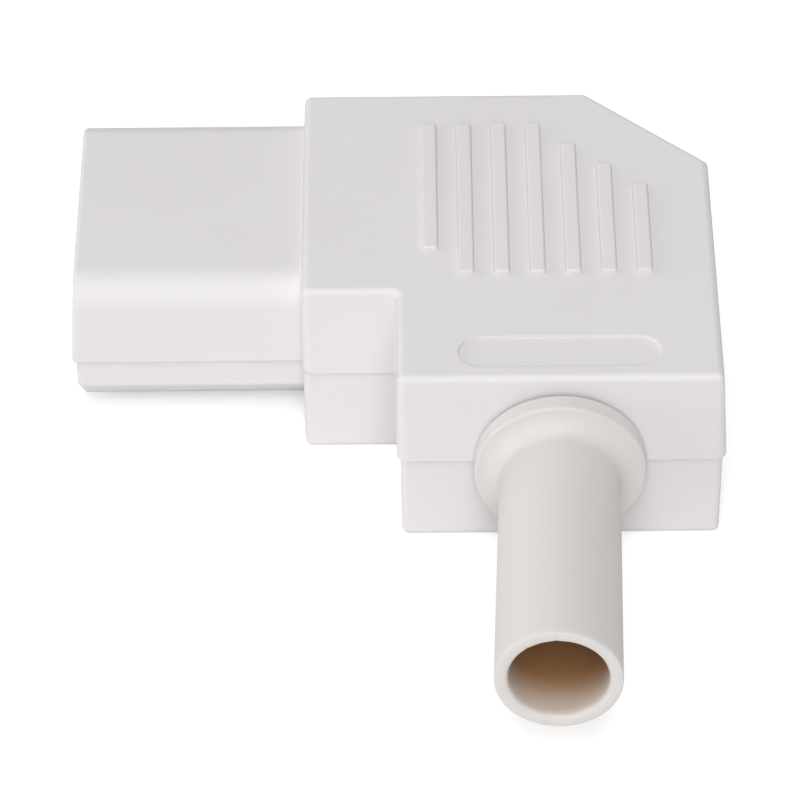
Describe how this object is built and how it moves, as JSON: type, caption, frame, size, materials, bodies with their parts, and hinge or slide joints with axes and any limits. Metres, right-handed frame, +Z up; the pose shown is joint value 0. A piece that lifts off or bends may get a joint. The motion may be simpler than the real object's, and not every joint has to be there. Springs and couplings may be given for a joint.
{
  "type": "right-angle c13 power connector",
  "caption": "White right-angle C13 power connector for hand wiring: two shells, contact carrier, screw terminals, cord clamp and soft cord sleeve.",
  "frame": {"origin": "on the mating axis, at the parting plane, where the nose meets the shoulder", "axes": "-X along the nose in the plugging direction, -Y the side that the cord leaves, +Z up from the lower shell to the ribbed upper shell"},
  "size_m": [0.0544, 0.0648, 0.0176],
  "materials": {
    "shell_white": "satin moulded white thermoplastic",
    "carrier_white": "moulded off-white insulating thermoplastic",
    "sleeve_soft": "matt warm-white soft plastic",
    "contact_brass": "pressed and folded brass strip",
    "plated_steel": "zinc plated steel"
  },
  "bodies": {
    "root": {"upper_shell": "shell_white", "lower_shell": "shell_white", "contact_carrier": "carrier_white", "contact_line": "contact_brass", "contact_neutral": "contact_brass", "contact_earth": "contact_brass", "wire_saddle_line": "plated_steel", "wire_saddle_neutral": "plated_steel", "wire_saddle_earth": "plated_steel", "terminal_screw_line": "plated_steel", "terminal_screw_neutral": "plated_steel", "terminal_screw_earth": "plated_steel", "cord_clamp_bar": "carrier_white", "cord_clamp_screw_left": "plated_steel", "cord_clamp_screw_right": "plated_steel", "housing_screw_front": "plated_steel", "housing_screw_rear": "plated_steel", "housing_nut_front": "plated_steel", "housing_nut_rear": "plated_steel", "cord_sleeve": "sleeve_soft"}
  },
  "joints": []
}
